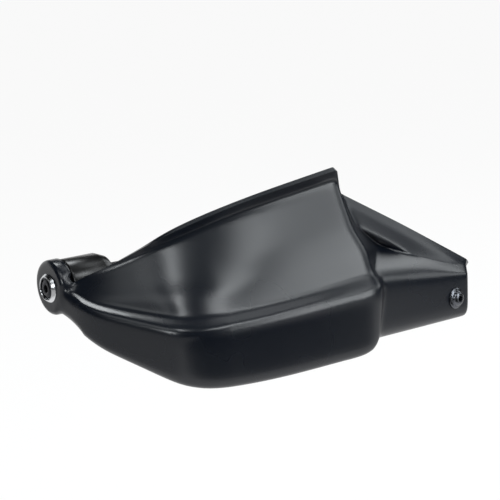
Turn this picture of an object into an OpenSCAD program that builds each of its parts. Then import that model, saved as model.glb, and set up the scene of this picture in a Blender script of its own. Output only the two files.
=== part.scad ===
// Motorcycle hand guard for the right grip: one moulded shell, held at the bar end and by an inner bracket.
// Frame: origin on the handlebar's axis at the middle of the bar-end expander, +X inboard, -Y forwards, +Z up.

/* [Bar end] */
// Diameter of the bar-end weight
weight_d = 32; // [29:0.5:35]
// Length of the weight's straight part
weight_len = 23.7; // [18:0.1:30]
// Length of the weight's chamfer
weight_chamfer = 6.5; // [4:0.5:9]
// Thickness of the shell's outer lug
lug_t = 9; // [8:0.5:11]
// How far the lug's radius stands beyond the weight's
lug_margin = 1; // [0.5:0.25:2]
// Rounding of the lug's outer edge
lug_round = 3; // [2:0.25:3.5]
// Outside diameter of the dished washer under the bar-end screw
cup_d = 18; // [17:0.5:20]
// Diameter of the expander that grips the handlebar's bore
expander_d = 16; // [14:0.5:18]
// Length of the rubber expander
expander_len = 26; // [20:1:34]

/* [Shell] */
// Wall of the moulding
wall = 3; // [2.4:0.1:3.4]
// How far the knuckle stands in front of the bar axis
knuckle_depth = 95; // [86:1:104]
// Lowest line of the knuckle, below the bar axis
knuckle_drop = 65; // [60:1:72]
// Highest point of the deflector, above the bar axis
peak_rise = 54; // [46:1:62]
// How much further forwards the lip is turned than the panel below it
lip_flare = 3.5; // [2:0.25:5]
// Distance from the lug's outer face to the arm screw, along the bar
arm_reach = 260; // [250:1:272]
// Length of the boss behind the arm, from its outer face
boss_len = 9; // [8:0.5:10]

/* [Inner bracket] */
// Thickness of the bracket's steel strip
strip_t = 4; // [3:0.5:5]
// Width of the bracket's strip
strip_w = 22; // [18:1:24]
// How far outboard of the arm screw the clamp's middle lies
clamp_outboard = 37; // [33:1:41]
// Diameter of the handlebar that the clamp holds
bar_d = 22.2; // [22:0.1:23]
// Width of the clamp along the bar
clamp_w = 18; // [15:1:22]
// Thickness of the clamp's rubber liner
liner_t = 1.4; // [1:0.1:2]

/* [Hidden] */
$fn = 64;
screw8_d = 8;
hole8_d = 8.4;
screw6_d = 6;
hole6_d = 6.4;
fit = 0.05;
seal_t = 0.8;
nut8_len = 8;
neck_len = 2;
neck_d = 22;
lug_r = weight_d / 2 + lug_margin;
tip_x = -(expander_len / 2 + neck_len + weight_chamfer + weight_len + seal_t + lug_t);
bush_r = 6;
arm_bush_r = 5;
arm_screw_z = -44;
weight_gap = 0.6;
flange6_r = 6.9;

// The dished washer under the bar-end screw sinks into the lug, and the screw's head into the washer
cup_h = 2.2;
cup_sink = 2.4;
cup_floor = 0.6;
cup_wall = 0.7;
cup_in_r = 6.9;
head8_r = 5.7;
head8_h = 3.8;

// Nominal feature lines, measured from the lug's outer face. Each runs from the lug to the arm's end return.
lip_edge = [[6.5, -13, 3.8], [21.5, -31, 12.5], [57, -57, 33], [104, -65.5, 44.8], [172, -68, 54],
    [184, -51, 36], [234, -51, 7], [287.2, -50, -25.5], [293.2, -44, -29.5]];
lip_root = [[6, -13.5, 3], [20.5, -31, 9], [49, -50, 23.5], [100, -61, 37], [174.8, -62, 47],
    [186, -55, 28], [231, -55, 2.5], [283.2, -54, -27.6], [289.2, -46, -31.5]];
panel_mid = [[5.6, -14, 2.3], [15.5, -33, 1], [47, -64.2, 5.3], [100, -74.5, 11.5], [175.5, -75, 18],
    [191, -58, 13.5], [236, -59, -12.5], [280.2, -58.5, -29], [285.2, -50, -33]];
pocket_back = [[5.3, -14.3, 1.8], [12.5, -34.5, -3], [48.3, -75.7, -4.9], [100, -81, -3.5], [180.5, -81, 3.5],
    [213, -51, -2.5], [237, -62, -14.5], [279.2, -60, -29.5], [283.7, -51.5, -33.7]];
crease = [[5, -14.7, 1.2], [10, -35, -6.8], [49.5, -84.3, -16], [100, -86, -17.7], [181, -86, -11.3],
    [188, -79, -11], [238, -67, -18.5], [278.2, -61.5, -30], [282.2, -53, -34.3]];
knuckle_top = [[0.3, -10, 2], [3, -38, -8.5], [41, -92, -23.5], [98, -94.8, -22.2], [181, -95, -20.8],
    [192, -85, -18.5], [232, -75.5, -24.4], [275.2, -65.8, -31], [279.2, -56, -35]];
knuckle_low = [[0.5, -8, -14], [5.5, -36, -33], [46, -86, -61], [100, -88.5, -64.5], [178, -89, -63],
    [184, -86.9, -54], [228, -76.5, -57], [273.2, -66.3, -59.8], [277.2, -56.5, -57.6]];
hem = [[7, -4, -12], [20, -27, -31], [55, -71, -60], [100, -74, -63], [172, -74, -61],
    [182, -72, -55], [226, -62, -57.5], [269.2, -55, -58.7], [272.2, -52.5, -57]];

// The feature lines follow the driving sizes: reach along the bar, depth forwards, rise and drop.
reach_k = arm_reach / 260;
depth_k = knuckle_depth / 95;
rise_k = peak_rise / 54;
drop_k = knuckle_drop / 65;
function place(p, flare) = [
    tip_x + p.x * reach_k,
    p.y * depth_k - flare,
    p.z * (p.z > 0 ? rise_k : drop_k)];
flare_by_key = [0, 0.4, 1, 1, 1, 0, 0, 0, 0];
lines = [
    [for (i = [0:8]) place(lip_edge[i], (lip_flare - 3.5) * flare_by_key[i])],
    for (l = [lip_root, panel_mid, pocket_back, crease, knuckle_top, knuckle_low, hem]) [for (p = l) place(p, 0)]];

// Softened corners: how far each corner is cut back before and after, along a line and across it.
turn_n = 5;
edge_n = 4;
along_mids = [1, 1, 2, 3, 1, 3, 2, 0];
across_mids = [0, 0, 0, 0, 0, 2, 1];
function along_cuts(r) = [0, [14, 16], [18, 34], [30, 30], r == 0 ? [3, 3] : r < 5 ? [7, 4] : [12, 6],
    r < 5 ? [4, 6] : [3, 4], [16, 16], [4, 4], 0];
function across_cuts(j) = [0, [3, 4], [6, 5], [5, 5], [3, 3], [4.4, 4 + 5 * min(1, j / 12)], [8, 7], 0];
function toward(a, b, d) = a + (b - a) * min(d / norm(b - a), 0.45);
function corner(a, p, b, c, n) =
    let (s = toward(p, a, c[0]), e = toward(p, b, c[1]))
    [for (i = [0:n]) let (t = i / n) s * (1 - t) * (1 - t) + p * 2 * t * (1 - t) + e * t * t];
function between(a, b, m) = [for (i = [1:1:m]) a + (b - a) * i / (m + 1)];
function soften(p, cuts, n, mids) =
    let (last = len(p) - 1, c = [for (i = [1:last - 1]) corner(p[i - 1], p[i], p[i + 1], cuts[i], n)])
    [p[0], each between(p[0], c[0][0], mids[0]),
     for (i = [1:last - 1]) each concat(c[i - 1], between(c[i - 1][n], i < last - 1 ? c[i][0] : p[last], mids[i])),
     p[last]];
long_lines = [for (r = [0:7]) soften(lines[r], along_cuts(r), turn_n, along_mids)];
cols = len(long_lines[0]);
outer = [for (j = [0:cols - 1]) soften([for (r = [0:7]) long_lines[r][j]], across_cuts(j), edge_n, across_mids)];
rows = len(outer[0]);

// The inner face stands one wall behind the outer one. The wall is thinner where the lines meet in the lug.
thin_cols = 9;
function unit(v) = v / norm(v);
function behind(j, k) =
    unit(cross(outer[min(j + 1, cols - 1)][k] - outer[max(j - 1, 0)][k],
               outer[j][min(k + 1, rows - 1)] - outer[j][max(k - 1, 0)]));
function wall_at(j) = wall * min(1, 0.45 + 0.55 * j / thin_cols);
inner = [for (j = [0:cols - 1]) [for (k = [0:rows - 1]) outer[j][k] + behind(j, k) * wall_at(j)]];

// The arm's outer face is an upright plane, turned from the bar's direction.
arm_run = lines[5][7] - lines[5][5];
arm_turn = atan2(arm_run.y, arm_run.x);
arm_x = tip_x + arm_reach;
arm_y = lines[5][5].y + (arm_x - lines[5][5].x) * tan(arm_turn);
arm_z = arm_screw_z * drop_k;
washer_t = 1.5;
pad_y = boss_len + washer_t;
clamp_x = arm_x - clamp_outboard;

// The clamp's middle seen from the arm screw: along the arm and behind its face
clamp_along = -clamp_outboard * cos(arm_turn) - arm_y * sin(arm_turn);
clamp_behind = clamp_outboard * sin(arm_turn) - arm_y * cos(arm_turn);

// The clamp on the handlebar
clamp_in_r = bar_d / 2 + liner_t;
clamp_out_r = clamp_in_r + 5;
ear_t = 9;
ear_y = sqrt(clamp_out_r * clamp_out_r - ear_t * ear_t) + 6.3;
ear_past = 7;
ear_end = ear_y + ear_past;
split = 1;
seat_drop = 11.5;
seat_w = 26;
seat_hole = 10;
seat_z = -(clamp_in_r + seat_drop);

module on_bar(x) {
    translate([x, 0, 0])
        rotate([0, 90, 0])
            children();
}

module at_arm() {
    translate([arm_x, arm_y, arm_z])
        rotate([0, 0, arm_turn])
            rotate([-90, 0, 0])
                children();
}

module ring(ro, ri, h, z = 0) {
    translate([0, 0, z])
        difference() {
            cylinder(r = ro, h = h);
            translate([0, 0, -1])
                cylinder(r = ri, h = h + 2);
        }
}

module shell_wall() {
    n = cols * rows;
    polyhedron(
        points = [for (j = [0:cols - 1]) each outer[j], for (j = [0:cols - 1]) each inner[j]],
        faces = [
            for (j = [0:cols - 2], k = [0:rows - 2])
                let (a = j * rows + k, b = a + rows, c = b + 1, d = a + 1)
                each [[a, b, c], [a, c, d], [a + n, c + n, b + n], [a + n, d + n, c + n]],
            for (j = [0:cols - 2])
                let (a = j * rows, b = a + rows, e = a + rows - 1, f = e + rows)
                each [[a, a + n, b + n], [a, b + n, b], [e, f, f + n], [e, f + n, e + n]],
            for (k = [0:rows - 2])
                let (a = k, d = k + 1, e = (cols - 1) * rows + k, f = e + 1)
                each [[a + n, a, d], [a + n, d, d + n], [e, e + n, f + n], [e, f + n, f]]],
        convexity = 10);
}

module lug_solid() {
    on_bar(tip_x)
        rotate_extrude()
            polygon([[0, 0],
                for (a = [0:15:90]) [lug_r - lug_round + lug_round * sin(a), lug_round - lug_round * cos(a)],
                [lug_r, lug_t - 0.6], [lug_r - 0.6, lug_t], [0, lug_t]]);
}

module guard_shell() {
    color([0.04, 0.04, 0.045])
        difference() {
            union() {
                shell_wall();
                lug_solid();
                at_arm()
                    translate([0, 0, wall - 0.5])
                        cylinder(r = 9, h = boss_len - wall + 0.5);
            }
            on_bar(tip_x - 5)
                cylinder(r = bush_r + fit, h = lug_t + 10);
            on_bar(tip_x - 5)
                cylinder(r = cup_in_r + cup_wall + fit, h = cup_sink + 5);
            on_bar(tip_x + lug_t)
                cylinder(r = weight_d / 2 + weight_gap, h = seal_t + weight_len + weight_chamfer);
            at_arm()
                translate([0, 0, -5])
                    cylinder(r = arm_bush_r + fit, h = boss_len + 10);
            at_arm()
                translate([0, 0, -4])
                    cylinder(r = flange6_r + 0.6, h = 4);
        }
}

module lug_bush() {
    color([0.5, 0.5, 0.52])
        on_bar(tip_x + cup_sink)
            ring(bush_r, hole8_d / 2, lug_t - cup_sink);
}

module cup_washer() {
    base = cup_h + cup_sink;
    color([0.75, 0.75, 0.77])
        on_bar(tip_x - cup_h)
            rotate_extrude()
                polygon([[hole8_d / 2, base], [hole8_d / 2, base - cup_floor], [cup_in_r - 0.6, base - cup_floor],
                    [cup_in_r, base - cup_floor - 0.6], [cup_in_r, 0.3], [cup_in_r + 0.25, 0], [cup_in_r + 0.6, 0],
                    [cup_d / 2 - 0.3, cup_h - 0.7], [cup_d / 2, cup_h - 0.3], [cup_d / 2, cup_h],
                    [cup_in_r + cup_wall, cup_h], [cup_in_r + cup_wall, base]]);
}

module bar_end_screw() {
    len8 = -tip_x - cup_sink + cup_floor + expander_len / 2 + nut8_len + 1;
    color([0.08, 0.08, 0.09])
        on_bar(tip_x + cup_sink - cup_floor - head8_h)
            difference() {
                union() {
                    rotate_extrude()
                        polygon([[0, 0], [head8_r - 1.6, 0], [head8_r - 0.6, 0.4], [head8_r - 0.1, 1.1], [head8_r, 1.6],
                            [head8_r, head8_h], [0, head8_h]]);
                    translate([0, 0, head8_h])
                        cylinder(d = screw8_d - 2 * fit, h = len8);
                }
                translate([0, 0, -1])
                    cylinder(d = 4.6 / cos(30), h = 3.6, $fn = 6);
            }
}

module seal_washer() {
    color([0.05, 0.05, 0.05])
        on_bar(tip_x + lug_t)
            ring(lug_r - 4, hole8_d / 2, seal_t);
}

module bar_end_weight() {
    r = weight_d / 2;
    l1 = weight_len;
    l2 = l1 + weight_chamfer;
    color([0.06, 0.06, 0.065])
        on_bar(tip_x + lug_t + seal_t)
            rotate_extrude()
                polygon([[hole8_d / 2, 0], [r - 0.8, 0], [r, 0.8], [r, l1], [r - 2.6, l2], [neck_d / 2, l2],
                    [neck_d / 2, l2 + neck_len], [hole8_d / 2, l2 + neck_len]]);
}

module expander_sleeve() {
    color([0.05, 0.05, 0.05])
        on_bar(-expander_len / 2)
            ring(expander_d / 2, hole8_d / 2, expander_len);
}

module expander_nut() {
    r = expander_d / 2;
    l = nut8_len;
    color([0.6, 0.6, 0.62])
        on_bar(expander_len / 2)
            rotate_extrude()
                polygon([[screw8_d / 2, 0], [r - 0.3, 0], [r - 0.3, l / 2], [r - 2, l], [screw8_d / 2, l]]);
}

module arm_screw() {
    color([0.3, 0.3, 0.32])
        at_arm()
            difference() {
                union() {
                    rotate_extrude()
                        polygon([[0, -4.2], [2.8, -4.2], [4.2, -3.5], [4.9, -2.4], [5.1, -1.4], [6.4, -1.1],
                            [flange6_r, -0.7], [flange6_r, 0], [0, 0]]);
                    cylinder(d = screw6_d - 2 * fit, h = pad_y + strip_t + 8);
                }
                translate([0, 0, -5])
                    cylinder(d = 4 / cos(30), h = 3.2, $fn = 6);
            }
}

module arm_bush() {
    color([0.5, 0.5, 0.52])
        at_arm()
            ring(arm_bush_r, hole6_d / 2, boss_len);
}

module arm_washer() {
    color([0.1, 0.1, 0.1])
        at_arm()
            ring(8.5, hole6_d / 2, washer_t, boss_len);
}

// Centre line of the bent strip, in a plane square to the arm: distance behind the arm's face and height
strip_mid_z = seat_z - strip_t / 2 - arm_z;
strip_flat = 19;
strip_line = [[pad_y + strip_t / 2, -9], [pad_y + strip_t / 2, 9], [clamp_behind - strip_flat, strip_mid_z],
    [clamp_behind + strip_w, strip_mid_z]];

// Its outline from above: straight up the pad, then across to a round end under the clamp
strip_plan = [[-strip_w / 2, 0], [strip_w / 2, 0], [strip_w / 2, pad_y + strip_t + 8],
    for (a = [0:15:180]) [clamp_along + strip_w / 2 * cos(a), clamp_behind + strip_w / 2 * sin(a)],
    [-strip_w / 2, pad_y + strip_t + 8]];
strip_cuts = [0, [3.1, 3.1], [6, 6], 0];
strip_path = soften(strip_line, strip_cuts, 6, [0, 0, 0]);
function side(i, s) =
    let (last = len(strip_path) - 1, d = unit(strip_path[min(i + 1, last)] - strip_path[max(i - 1, 0)]))
    strip_path[i] + [-d.y, d.x] * s * strip_t / 2;
module inner_bracket() {
    last = len(strip_path) - 1;
    color([0.1, 0.1, 0.1])
        translate([arm_x, arm_y, arm_z])
            rotate([0, 0, arm_turn])
                difference() {
                    intersection() {
                        translate([clamp_along - strip_w, 0, 0])
                            rotate([90, 0, 90])
                                linear_extrude(3 * strip_w - clamp_along)
                                    polygon([for (i = [0:last]) side(i, 1), for (i = [last:-1:0]) side(i, -1)]);
                        translate([0, 0, -3 * strip_w])
                            linear_extrude(6 * strip_w)
                                polygon(strip_plan);
                    }
                    rotate([-90, 0, 0])
                        cylinder(d = hole6_d, h = pad_y + strip_t + 1);
                    translate([clamp_along, clamp_behind, strip_mid_z - strip_t])
                        cylinder(d = hole6_d, h = 2 * strip_t);
                }
}

module bracket_nut() {
    color([0.6, 0.6, 0.62])
        at_arm()
            translate([0, 0, pad_y + strip_t])
                difference() {
                    cylinder(d = 10 / cos(30), h = 5.5, $fn = 6);
                    translate([0, 0, -1])
                        cylinder(d = screw6_d, h = 8);
                }
}

under_t = 1.2;
washer6_r = 6;
module bracket_screw() {
    z0 = seat_z - strip_t - under_t;
    color([0.3, 0.3, 0.32])
        translate([clamp_x, 0, z0])
            difference() {
                union() {
                    translate([0, 0, -6])
                        cylinder(r = 5, h = 6);
                    cylinder(d = screw6_d - 2 * fit, h = strip_t + under_t + 8);
                }
                translate([0, 0, -7])
                    cylinder(d = 5 / cos(30), h = 4, $fn = 6);
            }
}

module bracket_washer() {
    color([0.6, 0.6, 0.62])
        translate([clamp_x, 0, seat_z - strip_t - under_t])
            ring(washer6_r, hole6_d / 2, under_t);
}

module clamp_half(up) {
    s = up ? 1 : -1;
    translate([clamp_x, 0, 0])
        difference() {
            union() {
                intersection() {
                    on_bar(-clamp_w / 2)
                        cylinder(r = clamp_out_r, h = clamp_w);
                    translate([-clamp_w / 2, -clamp_out_r, up ? split : -clamp_out_r])
                        cube([clamp_w, 2 * clamp_out_r, clamp_out_r - split]);
                }
                translate([-clamp_w / 2, -ear_end, up ? split : -ear_t])
                    cube([clamp_w, 2 * ear_end, ear_t - split]);
                if (!up)
                    translate([-clamp_w / 2, -seat_w / 2, seat_z])
                        cube([clamp_w, seat_w, -seat_z - ear_t + fit]);
            }
            on_bar(-clamp_w)
                cylinder(r = clamp_in_r, h = 2 * clamp_w);
            for (y = [-ear_y, ear_y])
                translate([0, y, up ? 0 : -ear_t - 1])
                    cylinder(d = up ? screw6_d : hole6_d, h = ear_t + 2);
            if (!up)
                translate([0, 0, seat_z - 1])
                    cylinder(d = screw6_d, h = seat_hole);
        }
}

module clamp_lower() {
    color([0.12, 0.12, 0.13])
        clamp_half(false);
}

module clamp_upper() {
    color([0.12, 0.12, 0.13])
        clamp_half(true);
}

module clamp_liner() {
    color([0.03, 0.03, 0.03])
        translate([clamp_x, 0, 0])
            difference() {
                on_bar(-clamp_w / 2)
                    ring(clamp_in_r, bar_d / 2, clamp_w);
                translate([-clamp_w, 0, -0.5])
                    cube([2 * clamp_w, 2 * clamp_in_r, 1]);
            }
}

module clamp_screws() {
    color([0.3, 0.3, 0.32])
        for (y = [-ear_y, ear_y])
            translate([clamp_x, y, -ear_t - under_t])
                difference() {
                    union() {
                        translate([0, 0, -6])
                            cylinder(r = 5, h = 6);
                        cylinder(d = screw6_d - 2 * fit, h = under_t + 2 * ear_t);
                    }
                    translate([0, 0, -7])
                        cylinder(d = 5 / cos(30), h = 4, $fn = 6);
                }
}

module clamp_washers() {
    color([0.6, 0.6, 0.62])
        for (y = [-ear_y, ear_y])
            translate([clamp_x, y, -ear_t - under_t])
                ring(washer6_r, hole6_d / 2, under_t);
}

guard_shell();
lug_bush();
bar_end_screw();
cup_washer();
seal_washer();
bar_end_weight();
expander_sleeve();
expander_nut();
arm_screw();
arm_bush();
arm_washer();
inner_bracket();
bracket_nut();
bracket_screw();
bracket_washer();
clamp_lower();
clamp_upper();
clamp_liner();
clamp_screws();
clamp_washers();
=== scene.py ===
"""Right-hand motorcycle hand guard: finishes, softened moulding, small fastener detail and a plain studio."""
import math

import bmesh
import bpy
from mathutils import Matrix, Vector
from mathutils.kdtree import KDTree


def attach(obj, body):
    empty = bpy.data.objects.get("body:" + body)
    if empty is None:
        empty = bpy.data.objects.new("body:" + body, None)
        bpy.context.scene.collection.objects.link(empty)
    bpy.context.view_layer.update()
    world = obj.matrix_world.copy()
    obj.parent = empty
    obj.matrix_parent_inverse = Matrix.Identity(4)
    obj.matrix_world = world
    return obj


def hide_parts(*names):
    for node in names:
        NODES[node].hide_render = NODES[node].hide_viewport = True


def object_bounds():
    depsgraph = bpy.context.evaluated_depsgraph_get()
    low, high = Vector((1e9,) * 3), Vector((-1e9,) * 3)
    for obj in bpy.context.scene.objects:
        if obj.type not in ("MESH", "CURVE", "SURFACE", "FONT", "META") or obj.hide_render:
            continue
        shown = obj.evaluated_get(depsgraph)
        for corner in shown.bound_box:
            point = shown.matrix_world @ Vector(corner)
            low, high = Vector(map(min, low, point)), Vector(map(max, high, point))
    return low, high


bl_info = {
    "name": "Motorcycle hand guard",
    "version": (1, 0, 0),
    "blender": (4, 5, 0),
    "location": "View3D > Sidebar > Hand guard",
    "description": "Dresses a moulded hand guard with its bar-end weight, bracket and bar clamp",
    "category": "Object",
}

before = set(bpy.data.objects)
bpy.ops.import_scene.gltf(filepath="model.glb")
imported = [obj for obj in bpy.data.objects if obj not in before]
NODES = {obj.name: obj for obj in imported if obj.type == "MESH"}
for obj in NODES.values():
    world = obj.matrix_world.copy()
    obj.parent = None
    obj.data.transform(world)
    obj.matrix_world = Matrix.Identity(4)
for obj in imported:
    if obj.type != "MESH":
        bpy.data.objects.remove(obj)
CAD_BOX = [list(corner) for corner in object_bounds()]
MM = 0.001


# Sizes and colours that a user would change

class GuardSizes(bpy.types.PropertyGroup):
    rim_round: bpy.props.FloatProperty(
        name="Rim rounding", description="Radius on the moulding's free edges", default=0.8 * MM, unit="LENGTH")
    lug_blend: bpy.props.FloatProperty(
        name="Lug blend", description="Reach of the fillet where the shell grows out of its lug", default=5 * MM,
        unit="LENGTH")
    edge_round: bpy.props.FloatProperty(
        name="Machined edge", description="Small radius on turned and pressed metal edges", default=0.25 * MM,
        unit="LENGTH")
    grain: bpy.props.FloatProperty(
        name="Mould grain", description="Spacing of the moulding's satin grain", default=0.7 * MM, unit="LENGTH")
    turning: bpy.props.FloatProperty(
        name="Turning marks", description="Spacing of the lathe's rings on the dished washer", default=0.45 * MM,
        unit="LENGTH")


class GuardColours(bpy.types.PropertyGroup):
    moulding: bpy.props.StringProperty(
        name="Moulding", description="sRGB colour of the black ABS", default="#0b1018")
    coating: bpy.props.StringProperty(
        name="Coating", description="sRGB colour of the black coat on weight and bracket", default="#0c0c0d")
    anodising: bpy.props.StringProperty(
        name="Anodising", description="sRGB colour of the black clamp", default="#1b1c1f")
    oxide: bpy.props.StringProperty(
        name="Black oxide", description="sRGB colour of the screws' steel", default="#3a3b3f")
    chrome: bpy.props.StringProperty(
        name="Dark chrome", description="sRGB colour of the arm screw", default="#606267")
    stainless: bpy.props.StringProperty(
        name="Stainless", description="sRGB colour of the dished washer", default="#d6d7d9")
    zinc: bpy.props.StringProperty(
        name="Zinc plate", description="sRGB colour of nuts, bushes and flat washers", default="#c3c6ca")
    nylon: bpy.props.StringProperty(
        name="Nylon", description="sRGB colour of the nylon washer", default="#1c1c1e")
    rubber: bpy.props.StringProperty(
        name="Rubber", description="sRGB colour of the rubber pieces", default="#131313")
    floor: bpy.props.StringProperty(
        name="Floor", description="sRGB colour of the studio floor", default="#f4f4f4")


# Materials

def linear(text):
    """An sRGB hex value as linear red, green, blue and alpha."""
    channels = [int(text[i:i + 2], 16) / 255 for i in (1, 3, 5)]
    return tuple(c / 12.92 if c <= 0.04045 else ((c + 0.055) / 1.055) ** 2.4 for c in channels) + (1.0,)


def add_node(tree, kind, settings=None, inputs=None):
    """Adds a node, sets its properties, and sets or links its inputs."""
    node = tree.nodes.new(kind)
    for name, value in (settings or {}).items():
        setattr(node, name, value)
    for socket, value in (inputs or {}).items():
        if isinstance(value, bpy.types.NodeSocket):
            tree.links.new(value, node.inputs[socket])
        else:
            node.inputs[socket].default_value = value
    return node


def surface(name, colour, shader):
    """A material with one Principled shader, whose plain values are set on its own sockets."""
    material = bpy.data.materials.new(name)
    material.use_nodes = True
    tree = material.node_tree
    principled = tree.nodes["Principled BSDF"]
    principled.inputs["Base Color"].default_value = linear(colour)
    for socket, value in shader.items():
        principled.inputs[socket].default_value = value
    return material, tree, principled


def grain_bump(tree, principled, spacing, height, strength):
    """Fine even grain in the surface, from noise at a real spacing."""
    place = add_node(tree, "ShaderNodeTexCoord").outputs["Object"]
    noise = add_node(tree, "ShaderNodeTexNoise", None,
                     {"Vector": place, "Scale": 1 / spacing, "Detail": 2.0, "Roughness": 0.55})
    bump = add_node(tree, "ShaderNodeBump", None,
                    {"Height": noise.outputs["Fac"], "Distance": height, "Strength": strength})
    tree.links.new(bump.outputs["Normal"], principled.inputs["Normal"])
    return place


def uneven_gloss(tree, principled, place, patch, low, high):
    """Gloss that drifts between two roughness values over patches of a real size."""
    noise = add_node(tree, "ShaderNodeTexNoise", None, {"Vector": place, "Scale": 1 / patch, "Detail": 3.0})
    span = add_node(tree, "ShaderNodeMapRange", None,
                    {"Value": noise.outputs["Fac"], "From Min": 0.3, "From Max": 0.7, "To Min": low, "To Max": high})
    tree.links.new(span.outputs["Result"], principled.inputs["Roughness"])


def moulded_abs(sizes, colours):
    # Injection-moulded black ABS from a spark-eroded mould: satin, with a fine grain that softens every reflection.
    material, tree, principled = surface("moulded_abs", colours.moulding, {"IOR": 1.53, "Specular IOR Level": 0.5})
    place = grain_bump(tree, principled, sizes.grain, 0.004 * MM, 0.12)
    uneven_gloss(tree, principled, place, 60 * MM, 0.26, 0.3)
    return material


def powder_coat(sizes, colours):
    # Black powder coat on steel: smooth and fairly glossy, with a faint orange peel of about 2 mm.
    material, tree, principled = surface("powder_coated_steel", colours.coating, {"IOR": 1.5})
    place = grain_bump(tree, principled, 2 * MM, 0.004 * MM, 0.15)
    uneven_gloss(tree, principled, place, 25 * MM, 0.26, 0.32)
    return material


def anodised(sizes, colours):
    # Cast aluminium, blasted and black anodised: dull, with a blasted grain of about 0.5 mm.
    material, tree, principled = surface("anodised_aluminium", colours.anodising, {"Metallic": 0.6})
    place = grain_bump(tree, principled, 0.5 * MM, 0.02 * MM, 0.4)
    uneven_gloss(tree, principled, place, 20 * MM, 0.42, 0.52)
    return material


def black_oxide(sizes, colours):
    # Black-oxide screw steel: a dark metal with an oily gloss.
    material, tree, principled = surface("black_oxide_steel", colours.oxide, {"Metallic": 1.0})
    place = grain_bump(tree, principled, 0.4 * MM, 0.01 * MM, 0.2)
    uneven_gloss(tree, principled, place, 5 * MM, 0.28, 0.4)
    return material


def dark_chrome(sizes, colours):
    # Dark chromed button head: a grey metal with a soft gloss.
    material, tree, principled = surface("dark_chrome", colours.chrome, {"Metallic": 1.0})
    place = grain_bump(tree, principled, 0.5 * MM, 0.004 * MM, 0.2)
    uneven_gloss(tree, principled, place, 4 * MM, 0.2, 0.3)
    return material


def turned_stainless(sizes, colours):
    # Stainless steel, turned on a lathe: fine rings round the bar's axis stretch the highlights.
    material, tree, principled = surface("turned_stainless", colours.stainless, {"Metallic": 1.0, "Roughness": 0.24})
    place = add_node(tree, "ShaderNodeTexCoord").outputs["Object"]
    rings = add_node(tree, "ShaderNodeTexWave", {"wave_type": "RINGS", "rings_direction": "X"},
                     {"Vector": place, "Scale": 0.314 / sizes.turning, "Distortion": 0.3, "Detail": 2.0})
    bump = add_node(tree, "ShaderNodeBump", None,
                    {"Height": rings.outputs["Fac"], "Distance": 0.01 * MM, "Strength": 0.35})
    tree.links.new(bump.outputs["Normal"], principled.inputs["Normal"])
    return material


def zinc_plate(sizes, colours):
    # Bright zinc plate on steel: a pale bluish metal with slightly cloudy gloss.
    material, tree, principled = surface("zinc_plated_steel", colours.zinc, {"Metallic": 1.0})
    place = grain_bump(tree, principled, 0.8 * MM, 0.005 * MM, 0.2)
    uneven_gloss(tree, principled, place, 6 * MM, 0.25, 0.38)
    return material


def black_nylon(sizes, colours):
    # Moulded nylon: black and a little waxy.
    material, tree, principled = surface("moulded_nylon", colours.nylon, {"IOR": 1.53})
    place = grain_bump(tree, principled, 0.6 * MM, 0.01 * MM, 0.3)
    uneven_gloss(tree, principled, place, 8 * MM, 0.4, 0.5)
    return material


def black_rubber(sizes, colours):
    # Moulded rubber: nearly matt black.
    material, tree, principled = surface("moulded_rubber", colours.rubber, {"IOR": 1.52})
    place = grain_bump(tree, principled, 0.8 * MM, 0.03 * MM, 0.5)
    uneven_gloss(tree, principled, place, 10 * MM, 0.6, 0.75)
    return material


FINISHES = {
    "moulded_abs": moulded_abs,
    "black_coat": powder_coat,
    "black_alloy": anodised,
    "black_steel": black_oxide,
    "dark_chrome": dark_chrome,
    "stainless": turned_stainless,
    "zinc_steel": zinc_plate,
    "nylon": black_nylon,
    "rubber": black_rubber,
}
made_finishes = {}


def finish_for(slot):
    """The material of a record slot, made once."""
    if slot not in made_finishes:
        scene = bpy.context.scene
        made_finishes[slot] = FINISHES[slot](scene.guard_sizes, scene.guard_colours)
    return made_finishes[slot]


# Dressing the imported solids

# Turns of an edge in degrees: a hollow corner, a free edge that is rounded, an edge that stays crisp when the shell
# is subdivided, and an edge that is shaded as a corner
HOLLOW_TURN = 28
RIM_TURN = 50
CRISP_TURN = 36
SHADED_TURN = 38

# Reach of the shell's growth out of the lug, width of the slivers merged there, and room left round hollow corners
LUG_RADIUS = 24 * MM
SLIVER = 0.9 * MM
SLIVER_REACH = 1.5 * MM
CLEARANCE = 3 * MM

# The pocket between the panel's inboard edge and the arm, as opposite corners of a box
POCKET_LOW = Vector((135, -62, -18)) * MM
POCKET_HIGH = Vector((185, -50, 16)) * MM


def open_copy(node):
    """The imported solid's mesh as a bmesh, with its loose triangles merged."""
    bm = bmesh.new()
    bm.from_mesh(NODES[node].data)
    bmesh.ops.remove_doubles(bm, verts=bm.verts, dist=0.002 * MM)
    return bm


def add_piece(bm, name, node, slot, smooth_angle, levels=0):
    """Turns a bmesh into a finished piece that stands for a node, subdivided if levels are asked for."""
    mesh = bpy.data.meshes.new(name)
    bm.to_mesh(mesh)
    bm.free()
    piece = bpy.data.objects.new(name, mesh)
    bpy.context.scene.collection.objects.link(piece)
    if levels:
        refine = piece.modifiers.new("refine", "SUBSURF")
        refine.levels = refine.render_levels = levels
        finer = bpy.data.meshes.new_from_object(piece.evaluated_get(bpy.context.evaluated_depsgraph_get()))
        piece.modifiers.clear()
        piece.data = finer
        bpy.data.meshes.remove(mesh)
        mesh = finer
        mesh.name = name
    mesh.shade_smooth()
    mesh.set_sharp_from_angle(angle=math.radians(smooth_angle))
    mesh.materials.append(finish_for(slot))
    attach(piece, "root")
    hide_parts(node)
    return piece


def sharp_edges(bm, angle):
    """Edges between two faces that turn by more than an angle."""
    limit = math.radians(angle)
    return [e for e in bm.edges if len(e.link_faces) == 2 and e.calc_face_angle() > limit]


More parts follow.
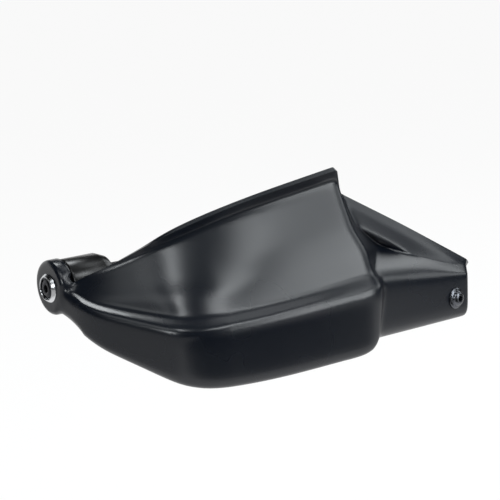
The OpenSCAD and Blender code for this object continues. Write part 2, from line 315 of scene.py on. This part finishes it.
def dress(node, slot, radius):
    """A metal or rubber piece: the solid with its flats joined up and its edges eased by a small radius."""
    bm = open_copy(node)
    bmesh.ops.dissolve_limit(bm, angle_limit=math.radians(0.4), verts=bm.verts, edges=bm.edges)
    bmesh.ops.bevel(bm, geom=sharp_edges(bm, 32), offset=radius, offset_type="OFFSET", segments=2, profile=0.5,
                    affect="EDGES", material=-1, clamp_overlap=True)
    return add_piece(bm, node + "_dressed", node, slot, 40)


def at_lug(place):
    """Whether a place is where the shell grows out of the lug."""
    box = [Vector(corner) for corner in NODES["lug_bush"].bound_box]
    centre = sum(box, Vector()) / 8
    seat = max(box[6] - box[0]) / 2 + 3 * MM
    return seat < (place.yz - centre.yz).length < LUG_RADIUS and place.x < centre.x + LUG_RADIUS


def in_pocket(place):
    """Whether a place is in the pocket beside the panel."""
    return all(low < value < high for low, value, high in zip(POCKET_LOW, place, POCKET_HIGH))


def hollow_corner(bm, inside):
    """Points about every millimetre along the hollow corners that start inside a region."""
    points = []
    for edge in sharp_edges(bm, HOLLOW_TURN):
        near, far = (v.co for v in edge.verts)
        if not edge.is_convex and inside(near):
            steps = 1 + math.ceil(edge.calc_length() / MM)
            points += [near.lerp(far, i / steps) for i in range(steps + 1)]
    return points


def near_points(points):
    """A search tree of points, which tells how far a place is from them."""
    tree = KDTree(len(points))
    for i, point in enumerate(points):
        tree.insert(point, i)
    tree.balance()
    return tree


def soften(bm, points, reach, rounds):
    """Eases the surface near some points: vertices move towards their neighbours, less and less outwards."""
    tree = near_points(points)
    pull = {v: min(1.0, 1.6 * (1 - tree.find(v.co)[2] / reach)) for v in bm.verts if tree.find(v.co)[2] < reach}
    for _ in range(rounds):
        places = {v: sum((e.other_vert(v).co for e in v.link_edges), Vector()) / len(v.link_edges) for v in pull}
        for v, place in places.items():
            v.co = v.co.lerp(place, 0.6 * pull[v])


def ease(bm, points, reach, rounds):
    """Cuts the surface finer near a hollow corner and softens it there."""
    tree = near_points(points)
    near = {v for v in bm.verts if tree.find(v.co)[2] < reach}
    long = [e for e in bm.edges if e.verts[0] in near and e.verts[1] in near and e.calc_length() > 1.2 * MM]
    bmesh.ops.subdivide_edges(bm, edges=long, cuts=1)
    bmesh.ops.triangulate(bm, faces=[f for f in bm.faces if len(f.verts) > 4])
    soften(bm, points, reach, rounds)


class GUARD_OT_shell(bpy.types.Operator):
    """Moulded shell with eased rims and a satin grain"""
    bl_idname = "guard.shell"
    bl_label = "Moulded shell"

    def execute(self, context):
        sizes = context.scene.guard_sizes
        bm = open_copy("guard_shell")
        lug_corner = hollow_corner(bm, at_lug)
        hollows = near_points(lug_corner + hollow_corner(bm, in_pocket))
        self.merge_slivers(bm, lug_corner)
        self.round_rims(bm, hollows, sizes.rim_round)
        self.keep_crisp(bm, hollows)
        piece = add_piece(bm, "guard_shell_moulding", "guard_shell", "moulded_abs", SHADED_TURN, 1)
        bm = bmesh.new()
        bm.from_mesh(piece.data)
        ease(bm, lug_corner, sizes.lug_blend, 32)
        bm.to_mesh(piece.data)
        bm.free()
        piece.data.set_sharp_from_angle(angle=math.radians(SHADED_TURN))
        return {"FINISHED"}

    def merge_slivers(self, bm, lug_corner):
        """Merges the narrow cuts along the lug's corner and joins flat triangles into larger faces."""
        tree = near_points(lug_corner)
        close = [v for v in bm.verts if tree.find(v.co)[2] < SLIVER_REACH]
        bmesh.ops.remove_doubles(bm, verts=close, dist=SLIVER)
        bmesh.ops.join_triangles(bm, faces=bm.faces, angle_face_threshold=math.radians(25),
                                 angle_shape_threshold=math.radians(60))

    def round_rims(self, bm, hollows, radius):
        """Rounds the free edges, clear of the hollow corners."""
        rims = [e for e in sharp_edges(bm, RIM_TURN) if e.is_convex and hollows.find(e.verts[0].co)[2] > CLEARANCE]
        bmesh.ops.bevel(bm, geom=rims, offset=radius, offset_type="OFFSET", segments=3, profile=0.5,
                        affect="EDGES", material=-1, clamp_overlap=True)

    def keep_crisp(self, bm, hollows):
        """Creases the remaining corners, clear of the hollow ones, so that subdivision keeps them."""
        crease = bm.edges.layers.float.new("crease_edge")
        for edge in sharp_edges(bm, CRISP_TURN):
            if hollows.find(edge.verts[0].co)[2] > CLEARANCE:
                edge[crease] = 1.0


class GUARD_OT_bar_end(bpy.types.Operator):
    """Weight, seal and lug sleeve at the bar's end"""
    bl_idname = "guard.bar_end"
    bl_label = "Bar-end weight"

    def execute(self, context):
        radius = context.scene.guard_sizes.edge_round
        dress("bar_end_weight", "black_coat", 2 * radius)
        dress("seal_washer", "rubber", radius / 2)
        dress("lug_bush", "zinc_steel", radius)
        return {"FINISHED"}


class GUARD_OT_bar_end_screw(bpy.types.Operator):
    """Button-head screw and its dished washer"""
    bl_idname = "guard.bar_end_screw"
    bl_label = "Bar-end screw"

    def execute(self, context):
        radius = context.scene.guard_sizes.edge_round
        dress("bar_end_screw", "black_steel", radius)
        dress("cup_washer", "stainless", radius / 2)
        return {"FINISHED"}


class GUARD_OT_expander(bpy.types.Operator):
    """Rubber expander and its nut"""
    bl_idname = "guard.expander"
    bl_label = "Expander"

    def execute(self, context):
        radius = context.scene.guard_sizes.edge_round
        dress("expander_sleeve", "rubber", 2 * radius)
        dress("expander_nut", "zinc_steel", radius)
        return {"FINISHED"}


class GUARD_OT_arm_fixing(bpy.types.Operator):
    """Flanged screw through the arm, with its sleeve, washer and weld nut"""
    bl_idname = "guard.arm_fixing"
    bl_label = "Arm fixing"

    def execute(self, context):
        radius = context.scene.guard_sizes.edge_round
        dress("arm_screw", "dark_chrome", radius / 2)
        dress("arm_bush", "zinc_steel", radius)
        dress("arm_washer", "nylon", radius)
        dress("bracket_nut", "zinc_steel", radius)
        return {"FINISHED"}


class GUARD_OT_bracket(bpy.types.Operator):
    """Bent steel strip and the screw that holds it under the clamp"""
    bl_idname = "guard.bracket"
    bl_label = "Inner bracket"

    def execute(self, context):
        radius = context.scene.guard_sizes.edge_round
        dress("inner_bracket", "black_coat", 2 * radius)
        dress("bracket_screw", "black_steel", radius)
        dress("bracket_washer", "zinc_steel", radius)
        return {"FINISHED"}


class GUARD_OT_clamp(bpy.types.Operator):
    """Two-part clamp for the handlebar, with liner, screws and washers"""
    bl_idname = "guard.clamp"
    bl_label = "Bar clamp"

    def execute(self, context):
        radius = context.scene.guard_sizes.edge_round
        dress("clamp_lower", "black_alloy", 2 * radius)
        dress("clamp_upper", "black_alloy", 2 * radius)
        dress("clamp_liner", "rubber", radius)
        dress("clamp_screws", "black_steel", radius)
        dress("clamp_washers", "zinc_steel", radius)
        return {"FINISHED"}


# Studio

# The photograph's view: a long lens in front and outboard, a little above the guard and tipped a little
VIEW_AZIMUTH = -33.8
VIEW_ELEVATION = 11.7
VIEW_ROLL = -3.9
VIEW_DISTANCE = 1.32
VIEW_TARGET = Vector((60, -50, 10.5)) * MM
VIEW_LENS = 154.4
FLOOR_DROP = 0.16
FLOOR_SIZE = 18.0

# Lamps: name, azimuth from the bar's forward direction towards inboard, elevation, distance, width, height, and
# power in half-watt steps
LAMPS = (
    ("key_low", 38, 21, 1.3, 0.42, 0.36, 3.0),
    ("key_high", 26, 41, 1.3, 0.42, 0.28, 3.0),
    ("key_top", 55, 43, 1.3, 0.4, 0.4, 1.0),
    ("key_floor", 36, 5, 1.3, 0.45, 0.3, 3.0),
    ("strip", -31, 54, 1.2, 0.1, 0.4, 2.0),
    ("facet", -66, 47, 1.2, 0.42, 0.45, 1.0),
    ("outboard", -56, 18, 1.3, 0.35, 0.22, 3.0),
    ("side_front", 59, 23, 1.3, 0.4, 0.4, 0.5),
    ("side", 80, 17, 1.3, 0.45, 0.4, 1.0),
    ("side_back", 108, 29, 1.3, 0.5, 0.4, 1.5),
    ("back_top", 158, 65, 1.3, 0.45, 0.36, 5.5),
    ("top_right", 85, 60, 1.3, 0.5, 0.4, 1.0),
    ("back", -165, 25, 1.5, 0.8, 0.4, 0.5),
)
LAMP_COLOUR = (0.94, 0.98, 1.0)

# Cards that only gloss sees. They paint the reflections in the moulding: grey sheets glow as painted reflections,
# and black ones keep the white room and the white floor out of the dark faces as painted shade. There is a black
# dome that is open low down at the back, a black sheet on the floor in front and grey sheets beside it.
# A sheet's box is its span inboard and its span forwards, in metres.
DOME_RADIUS = 1.9
DOME_FROM = -135
DOME_TO = 142
DOME_CLOSED_ABOVE = 20
SHEETS = (
    ("card_front", "#000000", (-0.19, 0.45), (-2.2, -0.28)),
    ("card_outboard", "#c0c0c0", (-1.5, -0.19), (-2.2, 1.0)),
    ("card_inboard", "#d8d8d8", (0.45, 0.75), (-2.2, 0.3)),
    ("card_far_inboard", "#8c8c8c", (0.75, 1.7), (-2.2, 0.3)),
)


def around(azimuth, elevation, distance, centre):
    """A place at an azimuth from forwards (-Y) towards inboard (+X) and an elevation."""
    a = math.radians(azimuth)
    e = math.radians(elevation)
    return centre + distance * Vector((math.sin(a) * math.cos(e), -math.cos(a) * math.cos(e), math.sin(e)))


def aim(item, place, centre):
    """Sets an object at a place with its -Z axis towards a centre."""
    item.matrix_world = Matrix.Translation(place) @ (centre - place).to_track_quat("-Z", "Y").to_matrix().to_4x4()


def stage_mesh(bm, name, material):
    """Turns a bmesh into a stage object that isn't part of the guard."""
    mesh = bpy.data.meshes.new(name)
    bm.to_mesh(mesh)
    bm.free()
    mesh.materials.append(material)
    item = bpy.data.objects.new(name, mesh)
    bpy.context.scene.collection.objects.link(item)
    return item


def flat_sheet(name, size_x, size_y, material):
    """A single flat face of a size, for the floor and the cards."""
    bm = bmesh.new()
    bmesh.ops.create_grid(bm, x_segments=1, y_segments=1, size=0.5)
    bmesh.ops.scale(bm, vec=(size_x, size_y, 1), verts=bm.verts)
    return stage_mesh(bm, name, material)


def seen(tree):
    """One where the camera, gloss or glass sees a surface, and zero for the light it gives."""
    path = add_node(tree, "ShaderNodeLightPath").outputs
    first = add_node(tree, "ShaderNodeMath", {"operation": "MAXIMUM"},
                     {0: path["Is Camera Ray"], 1: path["Is Glossy Ray"]})
    both = add_node(tree, "ShaderNodeMath", {"operation": "MAXIMUM"},
                    {0: first.outputs[0], 1: path["Is Transmission Ray"]})
    return both.outputs[0]


def painted_reflection_card(name, colour):
    """A painted reflection: a card that glows its colour in gloss, whatever the lamps do, and black for painted
    shade.
    """
    material = bpy.data.materials.new(name)
    material.use_nodes = True
    tree = material.node_tree
    tree.nodes.clear()
    # The card glows its colour instead of taking light, so what gloss shows in it is a painted reflection.
    glow = add_node(tree, "ShaderNodeEmission", None, {"Color": linear(colour), "Strength": 1.0})
    add_node(tree, "ShaderNodeOutputMaterial", None, {"Surface": glow.outputs["Emission"]})
    return material


class GUARD_OT_stage(bpy.types.Operator):
    """Pale floor, white room, soft lamps, cards that paint dark and grey reflections, and the camera"""
    bl_idname = "guard.stage"
    bl_label = "Studio"

    def execute(self, context):
        scene = context.scene
        low, high = (Vector(corner) for corner in CAD_BOX)
        centre = (low + high) / 2
        self.camera(scene)
        self.room(scene)
        self.floor(scene, low, centre)
        self.lamps(scene, centre)
        self.cards(low, centre)
        scene.view_settings.view_transform = "Standard"
        return {"FINISHED"}

    def camera(self, scene):
        """The camera at the photograph's viewing angle."""
        data = bpy.data.cameras.new("camera")
        data.lens = VIEW_LENS
        data.clip_start = 0.01
        camera = bpy.data.objects.new("camera", data)
        scene.collection.objects.link(camera)
        aim(camera, around(VIEW_AZIMUTH, VIEW_ELEVATION, VIEW_DISTANCE, VIEW_TARGET), VIEW_TARGET)
        camera.matrix_world = camera.matrix_world @ Matrix.Rotation(math.radians(VIEW_ROLL), 4, "Z")
        scene.camera = camera

    def room(self, scene):
        """White where the camera, gloss or glass sees it, and an even soft light elsewhere."""
        world = bpy.data.worlds.new("room")
        world.use_nodes = True
        tree = world.node_tree
        tree.nodes.clear()
        strength = add_node(tree, "ShaderNodeMapRange", None, {"Value": seen(tree), "To Min": 0.5, "To Max": 1.0})
        light = add_node(tree, "ShaderNodeBackground", None,
                         {"Color": (1, 1, 1, 1), "Strength": strength.outputs["Result"]})
        add_node(tree, "ShaderNodeOutputWorld", None, {"Surface": light.outputs["Background"]})
        scene.world = world

    def lamps(self, scene, centre):
        """The soft lamps, each aimed at the middle of the object."""
        for name, azimuth, elevation, distance, width, height, power in LAMPS:
            data = bpy.data.lights.new(name, "AREA")
            data.shape = "RECTANGLE"
            data.size = width
            data.size_y = height
            data.energy = power
            data.color = LAMP_COLOUR
            lamp = bpy.data.objects.new(name, data)
            scene.collection.objects.link(lamp)
            aim(lamp, around(azimuth, elevation, distance, centre), centre)

    def cards(self, low, centre):
        """The dome and the sheets, which only gloss sees: they paint shade and grey reflections into the gloss."""
        bm = bmesh.new()
        bmesh.ops.create_uvsphere(bm, u_segments=48, v_segments=24, radius=DOME_RADIUS)
        open_part = []
        for face in bm.faces:
            x, y, z = face.calc_center_median()
            azimuth = math.degrees(math.atan2(x, -y))
            elevation = math.degrees(math.asin(z / DOME_RADIUS))
            at_back = not DOME_FROM < azimuth < DOME_TO
            if z < low.z - FLOOR_DROP - centre.z or (at_back and elevation < DOME_CLOSED_ABOVE):
                open_part.append(face)
        bmesh.ops.delete(bm, geom=open_part, context="FACES")
        # A black glowing dome: painted shade in the reflections, where the white room would show.
        dome = stage_mesh(bm, "card_dome", painted_reflection_card("painted_dark_reflection", "#000000"))
        dome.location = centre
        cards = [dome]
        for name, colour, across, ahead in SHEETS:
            sheet = flat_sheet(name, across[1] - across[0], ahead[1] - ahead[0], painted_reflection_card(name, colour))
            sheet.location = (sum(across) / 2, sum(ahead) / 2, low.z - FLOOR_DROP + MM)
            cards.append(sheet)
        # Seen only in gloss, so the cards paint shade and reflections there and show nothing else.
        for card in cards:
            card.visible_camera = False
            card.visible_diffuse = False
            card.visible_shadow = False

    def floor(self, scene, low, centre):
        """A pale floor that is seen as nearly white, with a faint shadow of the object."""
        material, tree, principled = surface("pale_floor", scene.guard_colours.floor,
                                             {"Roughness": 0.9, "Specular IOR Level": 0.0})
        share = add_node(tree, "ShaderNodeMath", {"operation": "MULTIPLY"}, {0: seen(tree), 1: 0.9})
        glow = add_node(tree, "ShaderNodeEmission", None, {"Color": (1, 1, 1, 1), "Strength": 1.0})
        mix = add_node(tree, "ShaderNodeMixShader", None,
                       {0: share.outputs[0], 1: principled.outputs[0], 2: glow.outputs[0]})
        tree.links.new(mix.outputs[0], tree.nodes["Material Output"].inputs["Surface"])
        floor = flat_sheet("floor", FLOOR_SIZE, FLOOR_SIZE, material)
        floor.location = (centre.x, centre.y, low.z - FLOOR_DROP)


class GUARD_PT_panel(bpy.types.Panel):
    """Lists the pieces of the hand guard"""
    bl_idname = "GUARD_PT_panel"
    bl_label = "Hand guard"
    bl_space_type = "VIEW_3D"
    bl_region_type = "UI"
    bl_category = "Hand guard"

    def draw(self, context):
        for operator in OPERATORS:
            self.layout.operator(operator.bl_idname)
        for group in (context.scene.guard_sizes, context.scene.guard_colours):
            for name in group.__annotations__:
                self.layout.prop(group, name)


OPERATORS = (GUARD_OT_stage, GUARD_OT_shell, GUARD_OT_bar_end, GUARD_OT_bar_end_screw, GUARD_OT_expander,
             GUARD_OT_arm_fixing, GUARD_OT_bracket, GUARD_OT_clamp)
CLASSES = (GuardSizes, GuardColours) + OPERATORS + (GUARD_PT_panel,)


def register():
    for cls in CLASSES:
        bpy.utils.register_class(cls)
    bpy.types.Scene.guard_sizes = bpy.props.PointerProperty(type=GuardSizes)
    bpy.types.Scene.guard_colours = bpy.props.PointerProperty(type=GuardColours)


def unregister():
    del bpy.types.Scene.guard_colours
    del bpy.types.Scene.guard_sizes
    for cls in reversed(CLASSES):
        bpy.utils.unregister_class(cls)


def main():
    register()
    bpy.ops.guard.stage()
    bpy.ops.guard.shell()
    bpy.ops.guard.bar_end()
    bpy.ops.guard.bar_end_screw()
    bpy.ops.guard.expander()
    bpy.ops.guard.arm_fixing()
    bpy.ops.guard.bracket()
    bpy.ops.guard.clamp()


if __name__ == "__main__":
    main()
